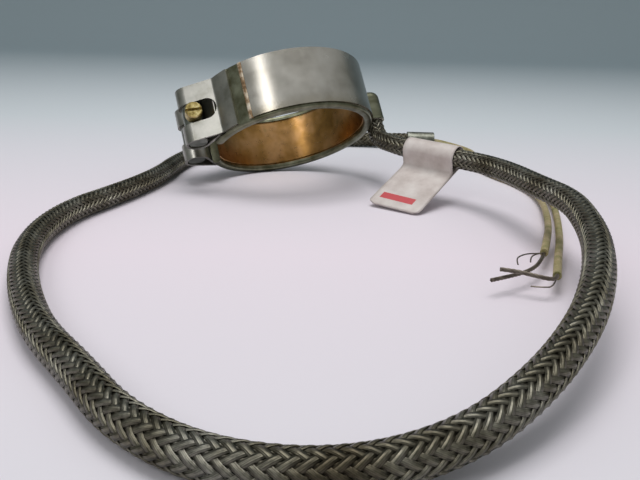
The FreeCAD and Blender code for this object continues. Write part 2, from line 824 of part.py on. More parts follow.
nodes = {name: laid(shape) for name, shape in band_nodes.items()}
nodes["lead_braid"] = make_braid()
nodes["end_ferrule"] = make_ferrule()
nodes["lead_a"] = make_lead(-1, lead_a_route, "lead_a")
nodes["lead_b"] = make_lead(1, lead_b_route, "lead_b")
nodes["strands_a"] = make_strands(lead_a_route, -bundle_rise, strands_a_points, "strands_a")
nodes["strands_b"] = make_strands(lead_b_route, bundle_rise, strands_b_points, "strands_b")
nodes["label"] = make_label()

os.makedirs("parts", exist_ok=True)
for name, shape in nodes.items():
    shape.exportStep("parts/" + name + ".step")
    print(name, "solids", len(shape.Solids), "valid", shape.isValid(), "volume", round(shape.Volume, 1))
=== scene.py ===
import math
import bpy
from mathutils import Matrix, Vector


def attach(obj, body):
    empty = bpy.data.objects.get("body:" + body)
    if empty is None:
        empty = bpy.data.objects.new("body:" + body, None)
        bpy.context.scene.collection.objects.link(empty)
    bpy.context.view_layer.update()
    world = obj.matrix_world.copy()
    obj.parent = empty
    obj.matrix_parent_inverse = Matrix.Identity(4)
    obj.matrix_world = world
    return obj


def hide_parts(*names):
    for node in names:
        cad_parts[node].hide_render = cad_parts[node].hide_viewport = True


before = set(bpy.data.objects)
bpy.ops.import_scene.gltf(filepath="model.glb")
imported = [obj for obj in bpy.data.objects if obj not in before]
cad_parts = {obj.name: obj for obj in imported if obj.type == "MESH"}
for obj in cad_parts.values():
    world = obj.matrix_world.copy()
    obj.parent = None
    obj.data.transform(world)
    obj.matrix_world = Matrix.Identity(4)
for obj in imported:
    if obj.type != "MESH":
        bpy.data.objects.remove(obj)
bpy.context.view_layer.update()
print("frame loaded")

mm = 0.001

# How the band lies on the table: the band's own frame has its bore along Z and its split on -X.
bandLie = {"x": 5.4, "y": -6.1, "z": 18.436, "heading": 119.0, "lean": 32.4, "spin": -103.4}
bandTurn = (Matrix.Rotation(math.radians(bandLie["heading"]), 4, "Z")
            @ Matrix.Rotation(math.radians(bandLie["lean"]), 4, "Y")
            @ Matrix.Rotation(math.radians(bandLie["spin"]), 4, "Z"))
bandPlace = Matrix.Translation((bandLie["x"] * mm, bandLie["y"] * mm, bandLie["z"] * mm)) @ bandTurn


# small tools
def deselectAll():
    for thing in list(bpy.context.selected_objects):
        thing.select_set(False)


def pick(thing):
    deselectAll()
    thing.select_set(True)
    bpy.context.view_layer.objects.active = thing


def applyModifier(thing, kind, **settings):
    modifier = thing.modifiers.new(kind.title(), kind)
    for key, value in settings.items():
        setattr(modifier, key, value)
    pick(thing)
    bpy.ops.object.modifier_apply(modifier=modifier.name)


def meshPiece(name, points, faces, smooth=True):
    mesh = bpy.data.meshes.new(name)
    mesh.from_pydata([tuple(point) for point in points], [], faces)
    mesh.update()
    thing = bpy.data.objects.new(name, mesh)
    bpy.context.scene.collection.objects.link(thing)
    if smooth:
        mesh.shade_smooth()
    return thing


# sRGB hex to the linear colour that a shader socket takes
def linear(hexText):
    channels = []
    for start in (0, 2, 4):
        value = int(hexText[start:start + 2], 16) / 255
        channels.append(value / 12.92 if value <= 0.04045 else ((value + 0.055) / 1.055) ** 2.4)
    return (*channels, 1.0)


# adds a node; an input that is a socket gets linked, anything else is a value
def addNode(tree, kind, settings=None, inputs=None):
    node = tree.nodes.new(kind)
    for key, value in (settings or {}).items():
        setattr(node, key, value)
    for key, value in (inputs or {}).items():
        if isinstance(value, bpy.types.NodeSocket):
            tree.links.new(value, node.inputs[key])
        else:
            node.inputs[key].default_value = value
    return node


def newMaterial(name):
    material = bpy.data.materials.new(name)
    material.use_nodes = True
    tree = material.node_tree
    tree.nodes.clear()
    shader = addNode(tree, "ShaderNodeBsdfPrincipled")
    addNode(tree, "ShaderNodeOutputMaterial", inputs={"Surface": shader.outputs[0]})
    return material, tree, shader


def ramp(tree, factor, stops, interpolation="LINEAR"):
    node = addNode(tree, "ShaderNodeValToRGB", inputs={"Fac": factor})
    node.color_ramp.interpolation = interpolation
    elements = node.color_ramp.elements
    while len(elements) < len(stops):
        elements.new(0.5)
    for element, (position, colour) in zip(elements, stops):
        element.position = position
        element.color = linear(colour) if isinstance(colour, str) else (colour, colour, colour, 1.0)
    return node.outputs["Color"]


def math2(tree, operation, first, second, third=None):
    inputs = {0: first, 1: second}
    if third is not None:
        inputs[2] = third
    return addNode(tree, "ShaderNodeMath", {"operation": operation}, inputs).outputs[0]


def mixColour(tree, blend, factor, first, second):
    node = addNode(tree, "ShaderNodeMix", {"data_type": "RGBA", "blend_type": blend},
                   {0: factor, 6: first, 7: second})
    return node.outputs[2]


def objectCoords(tree):
    return addNode(tree, "ShaderNodeTexCoord").outputs["Object"]


outsideRadius = 0.036  # the outer band's, in metres


# length round the band and height, in metres, for patterns that follow the sheet
def bandCoords(tree):
    place = addNode(tree, "ShaderNodeMapping", {"vector_type": "TEXTURE"},
                    {"Vector": objectCoords(tree), "Location": bandPlace.to_translation(),
                     "Rotation": bandTurn.to_euler()})
    split = addNode(tree, "ShaderNodeSeparateXYZ", inputs={0: place.outputs[0]})
    around = math2(tree, "ARCTAN2", split.outputs[1], split.outputs[0])
    arc = math2(tree, "MULTIPLY", around, outsideRadius)
    joined = addNode(tree, "ShaderNodeCombineXYZ", inputs={0: arc, 1: split.outputs[2]})
    return joined.outputs[0], split.outputs[2]


# noise whose features are about size metres across, stretched along the axes
def noiseAt(tree, vector, size, detail=3.0, roughness=0.55, stretch=(1, 1, 1)):
    place = addNode(tree, "ShaderNodeMapping", inputs={
        "Vector": vector, "Scale": tuple(1 / (size * part) for part in stretch)})
    node = addNode(tree, "ShaderNodeTexNoise", inputs={
        "Vector": place.outputs[0], "Scale": 1.0, "Detail": detail, "Roughness": roughness})
    return node.outputs["Fac"]


def bump(tree, shader, height, distance, strength=1.0):
    node = addNode(tree, "ShaderNodeBump", inputs={
        "Height": height, "Distance": distance, "Strength": strength})
    tree.links.new(node.outputs[0], shader.inputs["Normal"])


# finishes
# bright cold-rolled stainless strip, stained by heat and handling
def rolledStainless():
    material, tree, shader = newMaterial("rolledStainless")
    sheet, height = bandCoords(tree)
    stain = noiseAt(tree, sheet, 0.014, 4)
    streak = noiseAt(tree, sheet, 0.0006, 2, stretch=(30, 1, 1))  # rolling marks run round the band
    colour = ramp(tree, stain, [(0.3, "9a958b"), (0.52, "b3aea5"), (0.75, "c2beb6")])
    # olive heat colour creeps in from the edges of the sheet
    edge = addNode(tree, "ShaderNodeMapRange", inputs={
        "Value": height, "From Min": 0.0015, "From Max": 0.0062, "To Min": 1.0, "To Max": 0.0}).outputs[0]
    edge = math2(tree, "MULTIPLY", edge, noiseAt(tree, sheet, 0.005, 3))
    colour = mixColour(tree, "MIX", edge, colour, linear("857b66"))
    tree.links.new(colour, shader.inputs["Base Color"])
    shader.inputs["Metallic"].default_value = 1.0
    rough = math2(tree, "MULTIPLY_ADD", stain, 0.16, 0.17)
    tree.links.new(rough, shader.inputs["Roughness"])
    bump(tree, shader, streak, 0.00003, 0.35)
    return material


# thin stainless that has gone olive green-grey with heat; satin, with paler wiped patches
def heatTintedSheath():
    material, tree, shader = newMaterial("heatTintedSheath")
    sheet = bandCoords(tree)[0]
    patch = noiseAt(tree, sheet, 0.006, 4)
    colour = ramp(tree, patch, [(0.32, "55553f"), (0.5, "73735f"), (0.7, "8f917c")])
    tree.links.new(colour, shader.inputs["Base Color"])
    shader.inputs["Metallic"].default_value = 1.0
    tree.links.new(math2(tree, "MULTIPLY_ADD", patch, 0.2, 0.26), shader.inputs["Roughness"])
    bump(tree, shader, noiseAt(tree, sheet, 0.0012, 3), 0.00004, 0.5)
    return material


# the bore wall, turned straw to bronze by the hot barrel, with purple and green patches
def bronzedBore():
    material, tree, shader = newMaterial("bronzedBore")
    sheet = bandCoords(tree)[0]
    patch = noiseAt(tree, sheet, 0.017, 3)
    colour = ramp(tree, patch, [(0.3, "6f5230"), (0.45, "9a7340"), (0.58, "b0875a"), (0.72, "7f6f45")])
    fine = noiseAt(tree, sheet, 0.003, 4)
    colour = mixColour(tree, "MULTIPLY", 0.35, colour, ramp(tree, fine, [(0.3, 0.55), (0.7, 1.0)]))
    tree.links.new(colour, shader.inputs["Base Color"])
    shader.inputs["Metallic"].default_value = 1.0
    tree.links.new(math2(tree, "MULTIPLY_ADD", fine, 0.2, 0.2), shader.inputs["Roughness"])
    bump(tree, shader, patch, 0.0004, 0.35)
    return material


# thicker dull-rolled strip of the clamp, greyer than the outer band, with wiped streaks
def foldedStrap():
    material, tree, shader = newMaterial("foldedStrap")
    spot = objectCoords(tree)
    patch = noiseAt(tree, spot, 0.006, 4)
    streak = noiseAt(tree, spot, 0.0006, 2, stretch=(8, 2, 2))
    colour = ramp(tree, patch, [(0.3, "87857b"), (0.5, "a3a19a"), (0.72, "b5b2ab")])
    tree.links.new(colour, shader.inputs["Base Color"])
    shader.inputs["Metallic"].default_value = 1.0
    tree.links.new(math2(tree, "MULTIPLY_ADD", patch, 0.18, 0.24), shader.inputs["Roughness"])
    bump(tree, shader, streak, 0.00003, 0.4)
    return material


# lumpy fused metal, whitish scale with brown hollows
def brazedWeld():
    material, tree, shader = newMaterial("brazedWeld")
    spot = objectCoords(tree)
    lump = noiseAt(tree, spot, 0.0022, 4)
    colour = ramp(tree, lump, [(0.3, "5b4128"), (0.46, "94795a"), (0.6, "cdbfa9"), (0.8, "e2dccf")])
    tree.links.new(colour, shader.inputs["Base Color"])
    shader.inputs["Metallic"].default_value = 0.65
    tree.links.new(math2(tree, "MULTIPLY_ADD", lump, 0.35, 0.25), shader.inputs["Roughness"])
    bump(tree, shader, noiseAt(tree, spot, 0.0007, 3), 0.0001, 0.6)
    return material


# yellow-passivated zinc plate on the cap screw, worn pale on its edges
def yellowZinc():
    material, tree, shader = newMaterial("yellowZinc")
    spot = objectCoords(tree)
    patch = noiseAt(tree, spot, 0.0016, 4)
    colour = ramp(tree, patch, [(0.3, "7d6a3c"), (0.5, "b3a066"), (0.7, "d8cb9c")])
    tree.links.new(colour, shader.inputs["Base Color"])
    shader.inputs["Metallic"].default_value = 0.9
    tree.links.new(math2(tree, "MULTIPLY_ADD", patch, 0.2, 0.28), shader.inputs["Roughness"])
    bump(tree, shader, noiseAt(tree, spot, 0.0005, 3), 0.00004, 0.5)
    return material


# turned steel cross pins, dull and slightly oily
def turnedPin():
    material, tree, shader = newMaterial("turnedPin")
    spot = objectCoords(tree)
    patch = noiseAt(tree, spot, 0.003, 3)
    colour = ramp(tree, patch, [(0.3, "5f625a"), (0.7, "95988f")])
    tree.links.new(colour, shader.inputs["Base Color"])
    shader.inputs["Metallic"].default_value = 1.0
    shader.inputs["Roughness"].default_value = 0.34
    bump(tree, shader, noiseAt(tree, spot, 0.0004, 2), 0.00002, 0.5)
    return material


# pressed mica board: pale straw flakes with a pearly sheen
def micaSheet():
    material, tree, shader = newMaterial("micaSheet")
    flake = addNode(tree, "ShaderNodeTexVoronoi", inputs={"Vector": objectCoords(tree), "Scale": 900.0})
    colour = ramp(tree, flake.outputs["Distance"], [(0.1, "b09a6a"), (0.7, "d6c69c")])
    tree.links.new(colour, shader.inputs["Base Color"])
    shader.inputs["Roughness"].default_value = 0.42
    return material


# fired steatite, matt cream
def ceramicBush():
    material, tree, shader = newMaterial("ceramicBush")
    speck = noiseAt(tree, objectCoords(tree), 0.0004, 3)
    tree.links.new(ramp(tree, speck, [(0.4, "c9c1ae"), (0.6, "ddd7c8")]), shader.inputs["Base Color"])
    shader.inputs["Roughness"].default_value = 0.7
    return material


# bundles of fine stainless wire, oily brown, with painted shade in the grooves between the wires so the wire
# crowns read lighter
def wovenWire():
    material, tree, shader = newMaterial("wovenWire")
    uv = addNode(tree, "ShaderNodeTexCoord").outputs["UV"]
    wave = addNode(tree, "ShaderNodeTexWave", {"wave_type": "BANDS", "bands_direction": "X"},
                   {"Vector": uv, "Scale": 2.2, "Distortion": 0.0})  # about seven wires in a bundle
    spot = objectCoords(tree)
    grime = noiseAt(tree, spot, 0.011, 4)
    fleck = noiseAt(tree, spot, 0.0011, 2)
    colour = ramp(tree, grime, [(0.3, "5d5544"), (0.5, "7d7868"), (0.7, "98958a")])
    colour = mixColour(tree, "MULTIPLY", 0.75, colour, ramp(tree, fleck, [(0.35, 0.42), (0.65, 1.0)]))
    # painted shade: dark stripes along the grooves between the wires of each bundle, multiplied into the
    # colour below
    wires = ramp(tree, wave.outputs["Fac"], [(0.0, 0.35), (0.6, 1.0)])
    colour = mixColour(tree, "MULTIPLY", 0.5, colour, wires)
    tree.links.new(colour, shader.inputs["Base Color"])
    shader.inputs["Metallic"].default_value = 0.85
    tree.links.new(math2(tree, "MULTIPLY_ADD", fleck, 0.25, 0.24), shader.inputs["Roughness"])
    bump(tree, shader, wave.outputs["Fac"], 0.00005, 0.7)
    return material


# dark core tube under the wire bundles: painted shade, standing in for the shade seen between the bundles
def paintedShadeCore():
    material, tree, shader = newMaterial("paintedShadeCore")
    shadeTone = noiseAt(tree, objectCoords(tree), 0.002, 3)
    # painted shade: the core's near-black colour
    tree.links.new(ramp(tree, shadeTone, [(0.3, "211d16"), (0.7, "3b362b")]), shader.inputs["Base Color"])
    shader.inputs["Roughness"].default_value = 0.7
    return material


# plain steel tube end, grey-green and scuffed
def pressedFerrule():
    material, tree, shader = newMaterial("pressedFerrule")
    spot = objectCoords(tree)
    patch = noiseAt(tree, spot, 0.004, 4)
    colour = ramp(tree, patch, [(0.3, "57574d"), (0.6, "7f8076"), (0.8, "a2a39a")])
    tree.links.new(colour, shader.inputs["Base Color"])
    shader.inputs["Metallic"].default_value = 0.9
    tree.links.new(math2(tree, "MULTIPLY_ADD", patch, 0.2, 0.3), shader.inputs["Roughness"])
    bump(tree, shader, noiseAt(tree, spot, 0.0009, 3), 0.00005, 0.5)
    return material


# varnished glass-fibre braid: straw, with green and rust coloured flecks where it has aged
def glassSleeving():
    material, tree, shader = newMaterial("glassSleeving")
    spot = objectCoords(tree)
    weave = addNode(tree, "ShaderNodeTexVoronoi", {"feature": "F1"}, {"Vector": spot, "Scale": 1900.0})
    hue = noiseAt(tree, spot, 0.0045, 4)
    fleck = noiseAt(tree, spot, 0.0021, 2)
    colour = ramp(tree, hue, [(0.28, "7c7c4c"), (0.45, "a59a6c"), (0.6, "bba882"), (0.76, "c4b394")])
    colour = mixColour(tree, "MIX", ramp(tree, fleck, [(0.66, 0.0), (0.74, 0.7)]), colour, linear("8a4a32"))
    threads = ramp(tree, weave.outputs["Distance"], [(0.0, 1.0), (0.8, 0.5)])
    colour = mixColour(tree, "MULTIPLY", 0.5, colour, threads)
    tree.links.new(colour, shader.inputs["Base Color"])
    shader.inputs["Roughness"].default_value = 0.55
    shader.inputs["Specular IOR Level"].default_value = 0.35
    bump(tree, shader, weave.outputs["Distance"], 0.0001, 0.6)
    return material


# nickel-plated copper strands, oxidised brown-grey
def bareWire():
    material, tree, shader = newMaterial("bareWire")
    patch = noiseAt(tree, objectCoords(tree), 0.003, 3)
    tree.links.new(ramp(tree, patch, [(0.3, "5a5047"), (0.7, "8d8377")]), shader.inputs["Base Color"])
    shader.inputs["Metallic"].default_value = 0.8
    shader.inputs["Roughness"].default_value = 0.4
    return material


# coated cloth-backed tape, off-white, faintly soiled, with one plain coloured bar
def labelStock():
    material, tree, shader = newMaterial("labelStock")
    uv = addNode(tree, "ShaderNodeTexCoord").outputs["UV"]
    spot = objectCoords(tree)
    soil = noiseAt(tree, spot, 0.007, 4)
    colour = ramp(tree, soil, [(0.3, "b9aca6"), (0.5, "cbc0bb"), (0.7, "d8d0cb")])
    split = addNode(tree, "ShaderNodeSeparateXYZ", inputs={0: uv})
    along = math2(tree, "COMPARE", split.outputs[1], 0.815, 0.055)
    across = math2(tree, "COMPARE", split.outputs[0], 0.455, 0.325)
    bar = math2(tree, "MULTIPLY", along, across)
    colour = mixColour(tree, "MIX", bar, colour, linear("c2454a"))
    tree.links.new(colour, shader.inputs["Base Color"])
    shader.inputs["Roughness"].default_value = 0.45
    bump(tree, shader, noiseAt(tree, spot, 0.0011, 2), 0.00003, 0.4)
    return material


finish = {
    "stainless": rolledStainless(), "sheath": heatTintedSheath(), "bore": bronzedBore(),
    "strap": foldedStrap(), "weld": brazedWeld(), "screw": yellowZinc(), "pin": turnedPin(),
    "mica": micaSheet(), "ceramic": ceramicBush(), "wire": wovenWire(), "core": paintedShadeCore(),
    "ferrule": pressedFerrule(), "sleeving": glassSleeving(), "strand": bareWire(), "label": labelStock()}

nodeFinish = {
    "inner_sheath": "bore", "outer_sheath": "sheath", "cover_band": "stainless",
    "front_lug": "strap", "rear_lug": "strap", "plain_barrel": "pin", "threaded_barrel": "pin",
    "clamp_screw": "screw", "front_weld_bead": "weld", "rear_weld_bead": "weld",
    "inner_mica": "mica", "mica_core": "mica", "outer_mica": "mica", "terminal_pad": "mica",
    "resistance_ribbon": "pin", "terminal_cap": "sheath", "terminal_tab_a": "pin", "terminal_tab_b": "pin",
    "terminal_crimp_a": "pin", "terminal_crimp_b": "pin",
    "lead_tail_a": "sleeving", "lead_tail_b": "sleeving",
    "exit_bush": "ceramic", "end_ferrule": "ferrule"}


def dressNodes():
    for name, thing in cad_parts.items():
        if name in nodeFinish:
            for slot in thing.material_slots:
                slot.material = finish[nodeFinish[name]]


dressNodes()
print("materials made")

# cords
leadSizes = {"braidDiameter": 8.0, "wireLeadDiameter": 2.4, "leadSpacing": 2.8, "capExitRadius": 40.166,
             "capAngle": 6.0, "capBottom": 5.0, "exitRun": 5.5, "ferruleLength": 15.0,
             "braidInFerrule": 8.0, "ferruleApproach": 4.0}
braidRadius = leadSizes["braidDiameter"] / 2
leadRadius = leadSizes["wireLeadDiameter"] / 2
capTurn = math.radians(leadSizes["capAngle"])
exitInBand = Vector((leadSizes["capExitRadius"] * math.cos(capTurn),
                     leadSizes["capExitRadius"] * math.sin(capTurn), leadSizes["capBottom"]))
exitPoint = bandPlace @ (exitInBand * mm)
exitRunEnd = bandPlace @ ((exitInBand - Vector((0, 0, leadSizes["exitRun"]))) * mm)
ferruleStart = Vector((66.0, 92.8, 4.68))
braidEnd = ferruleStart + Vector((leadSizes["braidInFerrule"], 0, 0))
ferruleMouth = ferruleStart + Vector((leadSizes["ferruleLength"], 0, 0))

# x, y and the height of the underside above the table, in millimetres
braidRoute = [
    (44.15, 4.85, 14.55),
    (46.4, -5.0, 15.3),
    (52.8, -16.7, 14.9),
    (72.7, -31.8, 13.8),
    (80.9, -43.0, 14.0),
    (86.2, -58.8, 14.2),
    (89.0, -79.2, 14.6),
    (93.2, -99.4, 14.9),
    (91.3, -119.9, 13.9),
    (86.7, -140.0, 12.9),
    (79.7, -159.3, 11.0),
    (70.4, -177.5, 8.6),
    (58.1, -193.7, 5.3),
    (42.8, -207.1, 1.7),
    (23.4, -214.6, 0.2),
    (2.8, -212.5, 0.0),
    (-14.5, -201.0, 0.0),
    (-27.1, -184.2, 0.0),
    (-40.5, -168.1, 0.0),
    (-50.9, -150.0, 0.0),
    (-59.5, -130.9, 0.0),
    (-66.0, -111.1, 0.0),
    (-68.7, -90.3, 0.0),
    (-67.1, -69.5, 0.0),
    (-59.9, -49.9, 0.0),
    (-53.8, -29.9, 0.0),
    (-50.0, -9.4, 0.0),
    (-48.9, 11.5, 0.0),
    (-45.5, 32.0, 0.0),
    (-40.1, 52.1, 0.0),
    (-29.5, 69.9, 0.0),
    (-14.6, 84.0, 0.0),
    (3.7, 93.4, 0.0),
    (24.2, 94.5, 0.0),
    (44.6, 95.5, 0.1),
    (55.2, 93.5, 0.4)]
leadARoute = [
    (87.6, 90.8, 1.8),
    (93.5, 88.1, 0.4),
    (97.2, 81.5, 0.0),
    (97.6, 71.1, 0.0),
    (94.5, 53.9, 0.0),
    (92.8, 36.9, 0.0),
    (97.8, 18.4, 0.0),
    (104.2, 1.5, 0.1),
    (107.2, -17.6, 0.7),
    (104.6, -40.1, 1.4),
    (96.7, -72.2, 2.3),
    (87.6, -98.7, 3.4),
    (84.2, -107.9, 3.8)]
leadBRoute = [
    (88.5, 93.7, 2.0),
    (95.6, 90.5, 0.6),
    (100.0, 83.4, 0.0),
    (100.6, 71.9, 0.0),
    (97.6, 54.9, 0.0),
    (96.2, 37.9, 0.0),
    (101.5, 19.9, 0.0),
    (107.8, 2.9, 0.2),
    (110.7, -17.1, 0.7),
    (109.2, -36.1, 1.0),
    (104.3, -57.1, 1.4),
    (95.3, -88.5, 2.0),
    (87.4, -111.0, 2.8),
    (81.9, -127.4, 3.8)]



def inMetres(route, radius):
    return [Vector((x, y, z + radius)) * mm for x, y, z in route]


# a smooth curve with the route's points as its control points; bevelled if it has a radius
def routeCurve(name, points, radius=0.0, finishName=None):
    curve = bpy.data.curves.new(name, "CURVE")
    curve.dimensions = "3D"
    curve.resolution_u = 16
    spline = curve.splines.new("NURBS")
    spline.points.add(len(points) - 1)
    for target, point in zip(spline.points, points):
        target.co = (*point, 1.0)
    spline.order_u = 3
    spline.use_endpoint_u = True
    curve.bevel_depth = radius
    curve.bevel_resolution = 5
    curve.use_fill_caps = radius > 0
    thing = bpy.data.objects.new(name, curve)
    bpy.context.scene.collection.objects.link(thing)
    if finishName:
        curve.materials.append(finish[finishName])
    return thing


# evenly spaced points along the smooth curve, each with two directions square to it
def readRoute(points, step):
    guide = routeCurve("guide", points)
    mesh = bpy.data.meshes.new_from_object(guide)
    line = [vertex.co.copy() for vertex in mesh.vertices]
    bpy.data.objects.remove(guide)
    travelled = [0.0]
    for first, second in zip(line, line[1:]):
        travelled.append(travelled[-1] + (second - first).length)
    count = max(2, round(travelled[-1] / step))
    spots = []
    index = 0
    for number in range(count + 1):
        distance = travelled[-1] * number / count
        while index < len(line) - 2 and travelled[index + 1] < distance:
            index += 1
        share = (distance - travelled[index]) / max(travelled[index + 1] - travelled[index], 1e-9)
        spots.append((line[index].lerp(line[index + 1], share), distance))
    frames = []
    out = Vector((0, 0, 1))
    for number, (spot, distance) in enumerate(spots):
        ahead = spots[min(number + 1, count)][0] - spots[max(number - 1, 0)][0]
        ahead.normalize()
        out = (out - ahead * out.dot(ahead)).normalized()
        frames.append((spot, out.copy(), ahead.cross(out), distance))
    return frames


# adds one closed bar whose section at each frame is given as points in space
def sweep(frames, section, points, faces, uvs):
    base = len(points)
    size = 0
    for station in frames:
        ring = section(station)
        size = len(ring)
        points.extend(ring)
    for row in range(len(frames) - 1):
        for column in range(size):
            after = (column + 1) % size
            low = base + row * size
            faces.append((low + column, low + after, low + size + after, low + size + column))
            uvs.extend([(column / size, row), ((column + 1) / size, row),
                        ((column + 1) / size, row + 1), (column / size, row + 1)])
    last = base + (len(frames) - 1) * size
    faces.append(tuple(range(base + size - 1, base - 1, -1)))
    faces.append(tuple(range(last, last + size)))
    uvs.extend([(0.5, 0)] * (2 * size))


def sweptPiece(name, points, faces, uvs, finishName):
    thing = meshPiece(name, points, faces)
    layer = thing.data.uv_layers.new(name="UVMap")
    for loop, uv in zip(layer.data, uvs):
        loop.uv = uv
    thing.data.materials.append(finish[finishName])
    return thing


weaveSizes = {"carriers": 12, "pitch": 32.0, "baseRadius": 3.5, "swing": 0.17, "crown": 0.25,
              "halfWidth": 0.85, "coreRadius": 3.42}


# two families of flat wire bundles, each passing over two of the other and under two
def braidWeave(frames):
    points = []
    faces = []
    uvs = []
    carriers = weaveSizes["carriers"]
    for hand in (1, -1):
        for carrier in range(carriers):
            def section(station, hand=hand, carrier=carrier):
                spot, out, side, distance = station
                turns = distance / (weaveSizes["pitch"] * mm)
                angle = 2 * math.pi * (carrier / carriers + hand * turns)
                phase = 2 * carrier + hand * 2 * carriers * turns
                lift = hand * math.cos(math.pi / 2 * (phase - 0.5))
                radius = (weaveSizes["baseRadius"] + weaveSizes["swing"] * lift) * mm
                radial = out * math.cos(angle) + side * math.sin(angle)
                across = side * math.cos(angle) - out * math.sin(angle)
                across = across * weaveSizes["halfWidth"] * mm
                return [spot + radial * radius - across,
                        spot + radial * (radius + weaveSizes["crown"] * mm),
                        spot + radial * radius + across]
            sweep(frames, section, points, faces, uvs)
    return sweptPiece("wovenBraid", points, faces, uvs, "wire")


# section of a round bar, which may wind round the route at an offset
def roundSection(radius, sides, turnEvery=None, offset=0.0, start=0.0):
    def section(station):
        spot, out, side, distance = station
        if turnEvery:
            wind = start + 2 * math.pi * distance / turnEvery
            spot = spot + (out * math.cos(wind) + side * math.sin(wind)) * offset
        ring = []
        for corner in range(sides):
            angle = 2 * math.pi * corner / sides
            ring.append(spot + (out * math.cos(angle) + side * math.sin(angle)) * radius)
        return ring
    return section


bundleSizes = {"wires": 5, "wireRadius": 0.24, "windRadius": 0.36, "windPitch": 7.0, "straight": 2.4,
               "rise": 0.2, "strayRadius": 0.2, "step": 0.5}


def twistedBundle(name, route):
    frames = readRoute(route, bundleSizes["step"] * mm)
    points = []
    faces = []
    uvs = []
    for wire in range(bundleSizes["wires"]):
        section = roundSection(bundleSizes["wireRadius"] * mm, 6, bundleSizes["windPitch"] * mm,
                               bundleSizes["windRadius"] * mm, 2 * math.pi * wire / bundleSizes["wires"])
        sweep(frames, section, points, faces, uvs)
    return sweptPiece(name, points, faces, uvs, "strand"), frames


def routeLength(frames):
    return frames[-1][3]


braidPoints = [exitPoint, exitRunEnd] + inMetres(braidRoute, braidRadius)
braidPoints += [(ferruleStart - Vector((leadSizes["ferruleApproach"], 0, 0))) * mm, braidEnd * mm]
crossingStep = weaveSizes["pitch"] / (4 * weaveSizes["carriers"]) * mm
braidFrames = readRoute(braidPoints, crossingStep)
wovenBraid = braidWeave(braidFrames)
# the core tube carries the painted shade seen between the bundles
corePoints, coreFaces, coreUvs = [], [], []
sweep(braidFrames[::3] + braidFrames[-1:], roundSection(weaveSizes["coreRadius"] * mm, 16),
      corePoints, coreFaces, coreUvs)
braidCore = sweptPiece("braidCore", corePoints, coreFaces, coreUvs, "core")
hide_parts("lead_braid")
print("braid woven", round(routeLength(braidFrames), 4), len(wovenBraid.data.polygons))


def leadStart(side):
    return [(braidEnd + Vector((0, side * leadSizes["leadSpacing"] / 2, 0))) * mm,
            (ferruleMouth + Vector((0, side * leadSizes["leadSpacing"] / 2, 0))) * mm]


leadAPoints = leadStart(-1) + inMetres(leadARoute, leadRadius)
leadBPoints = leadStart(1) + inMetres(leadBRoute, leadRadius)
leadA = routeCurve("sleevedLeadA", leadAPoints, leadRadius * mm, "sleeving")
leadB = routeCurve("sleevedLeadB", leadBPoints, leadRadius * mm, "sleeving")
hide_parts("lead_a")
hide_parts("lead_b")

# middle lines of the bare bundles beyond their straight starts, in millimetres
bundleA = [(81.2, -114.7, 4.8), (78.6, -119.3, 4.6), (74.6, -123.4, 4.4),
           (69.4, -127.0, 4.4), (63.6, -130.9, 4.6)]
bundleB = [(79.3, -131.1, 5.3), (75.2, -130.2, 5.9), (70.9, -128.5, 6.4), (66.4, -127.7, 6.6)]
straysA = [[(81.3, -110.5, 5.6), (78.2, -112.5, 6.2), (75.0, -115.8, 6.6), (72.8, -119.5, 6.8),
            (72.3, -123.5, 6.6)],
           [(82.1, -112.1, 6.3), (79.6, -114.3, 6.6), (77.4, -117.3, 6.7), (76.5, -120.7, 6.5)]]
straysB = [[(79.9, -132.0, 3.7), (76.9, -132.6, 3.6), (73.9, -131.4, 3.4)]]


def bundleRoute(leadPoints, rise, beyond):
    tip = leadPoints[-1]
    forward = (tip - leadPoints[-2]).normalized()
    across = forward.cross(Vector((0, 0, 1))).normalized()
    start = tip + across.cross(forward) * rise * mm
    return [start, start + forward * bundleSizes["straight"] * mm] + [Vector(point) * mm for point in beyond]


routeA = bundleRoute(leadAPoints, -bundleSizes["rise"], bundleA)
routeB = bundleRoute(leadBPoints, bundleSizes["rise"], bundleB)
strandsA, strandAFrames = twistedBundle("bareStrandsA", routeA)
strandsB = twistedBundle("bareStrandsB", routeB)[0]
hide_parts("strands_a")
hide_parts("strands_b")
strayWires = {"A": [], "B": []}
for letter, tip, strays in (("A", leadAPoints[-1], straysA), ("B", leadBPoints[-1], straysB)):
    for number, stray in enumerate(strays):
        route = [tip] + [Vector(point) * mm for point in stray]
        wire = routeCurve(f"strayWire{letter}{number}", route, bundleSizes["strayRadius"] * mm, "strand")
        strayWires[letter].append(wire)
print("leads made", round(routeLength(strandAFrames), 4))

# label
labelSizes = {"width": 22.4, "flap": 32.4, "loopRadius": 4.825, "ply": 0.25, "corner": 2.5, "columns": 16}
labelFrom = Vector((52.8, -16.7, 18.9))
labelTo = Vector((72.7, -31.8, 17.8))
labelFall = Vector((-0.554, -0.729, -0.401))


# side view of the folded strip: along the fall and up, and the share down the front ply
def labelProfile():
    flap = labelSizes["flap"]
    loop = labelSizes["loopRadius"]
    profile = [(flap * (1 - step / 24), -loop, -1.0) for step in range(24)]
    for step in range(25):
        angle = math.radians(-90 - 245 * step / 24)
        profile.append((loop * math.cos(angle), loop * math.sin(angle), 0.0))
    profile += [(5.0, -3.4, 0.0), (5.9, -4.15, 0.0), (7.6, -4.46, 0.0)]
    for step in range(25):
        along = 9.0 + (flap - 9.0) * step / 24
        profile.append((along, -4.5, along / flap))
    return profile


